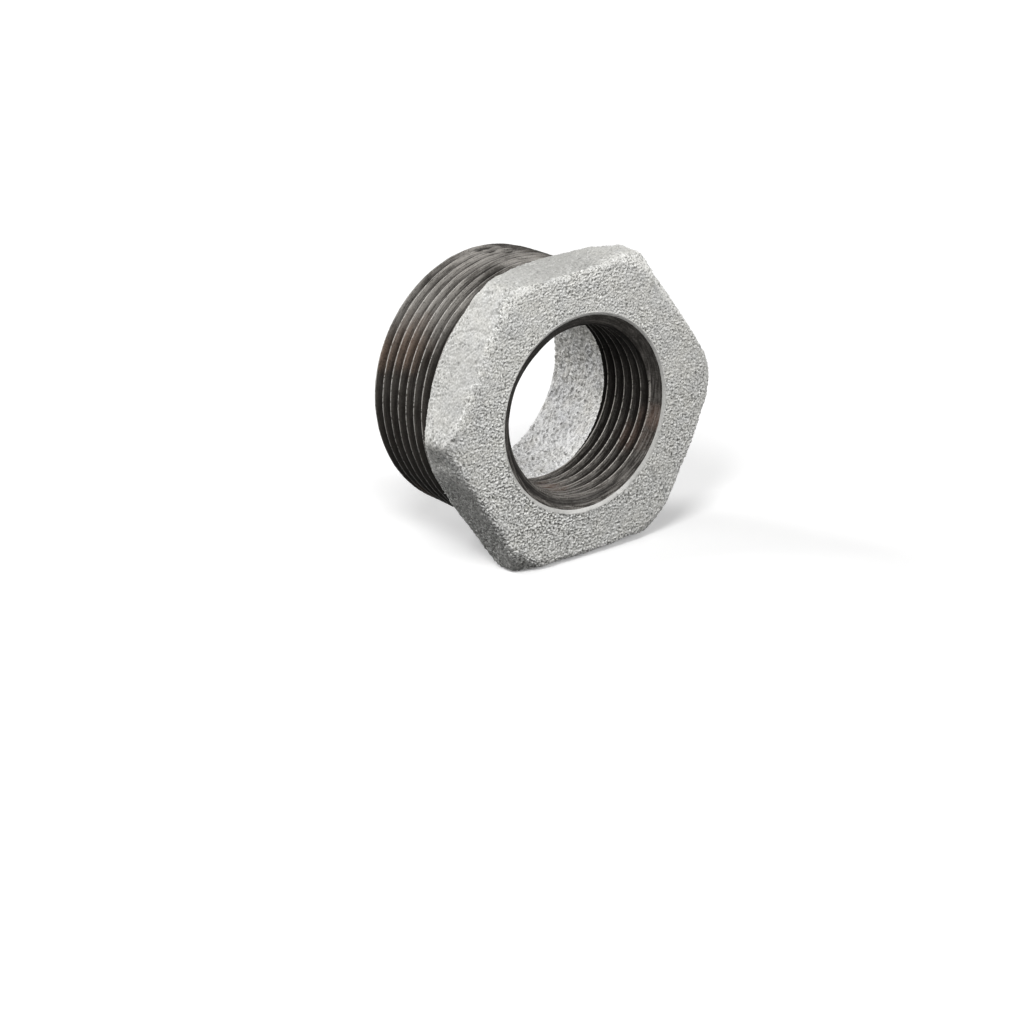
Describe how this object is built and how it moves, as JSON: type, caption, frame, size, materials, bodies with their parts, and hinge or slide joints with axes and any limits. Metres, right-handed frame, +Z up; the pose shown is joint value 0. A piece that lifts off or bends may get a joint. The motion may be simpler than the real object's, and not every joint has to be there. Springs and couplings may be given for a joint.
{
  "type": "hexagon reducing bushing",
  "caption": "Cast hexagon reducing bushing: a tapered male pipe thread behind a hexagon head, with a smaller parallel female pipe thread through it.",
  "frame": {"origin": "on the bore's axis, halfway along the bushing", "axes": "+Y along the bore's axis, towards the end of the male thread; the hexagon's face looks to -Y; +Z up, out of the upper flat of the hexagon, which lies on the flat opposite"},
  "size_m": [0.0588, 0.031, 0.0516],
  "materials": {
    "galvanised_iron": "hot-dip galvanised sand casting, dull light grey with a fine grain; threads cut bare after dipping, dark brown-grey and lightly oiled"
  },
  "bodies": {
    "root": {"hex_bushing": "galvanised_iron"}
  },
  "joints": []
}
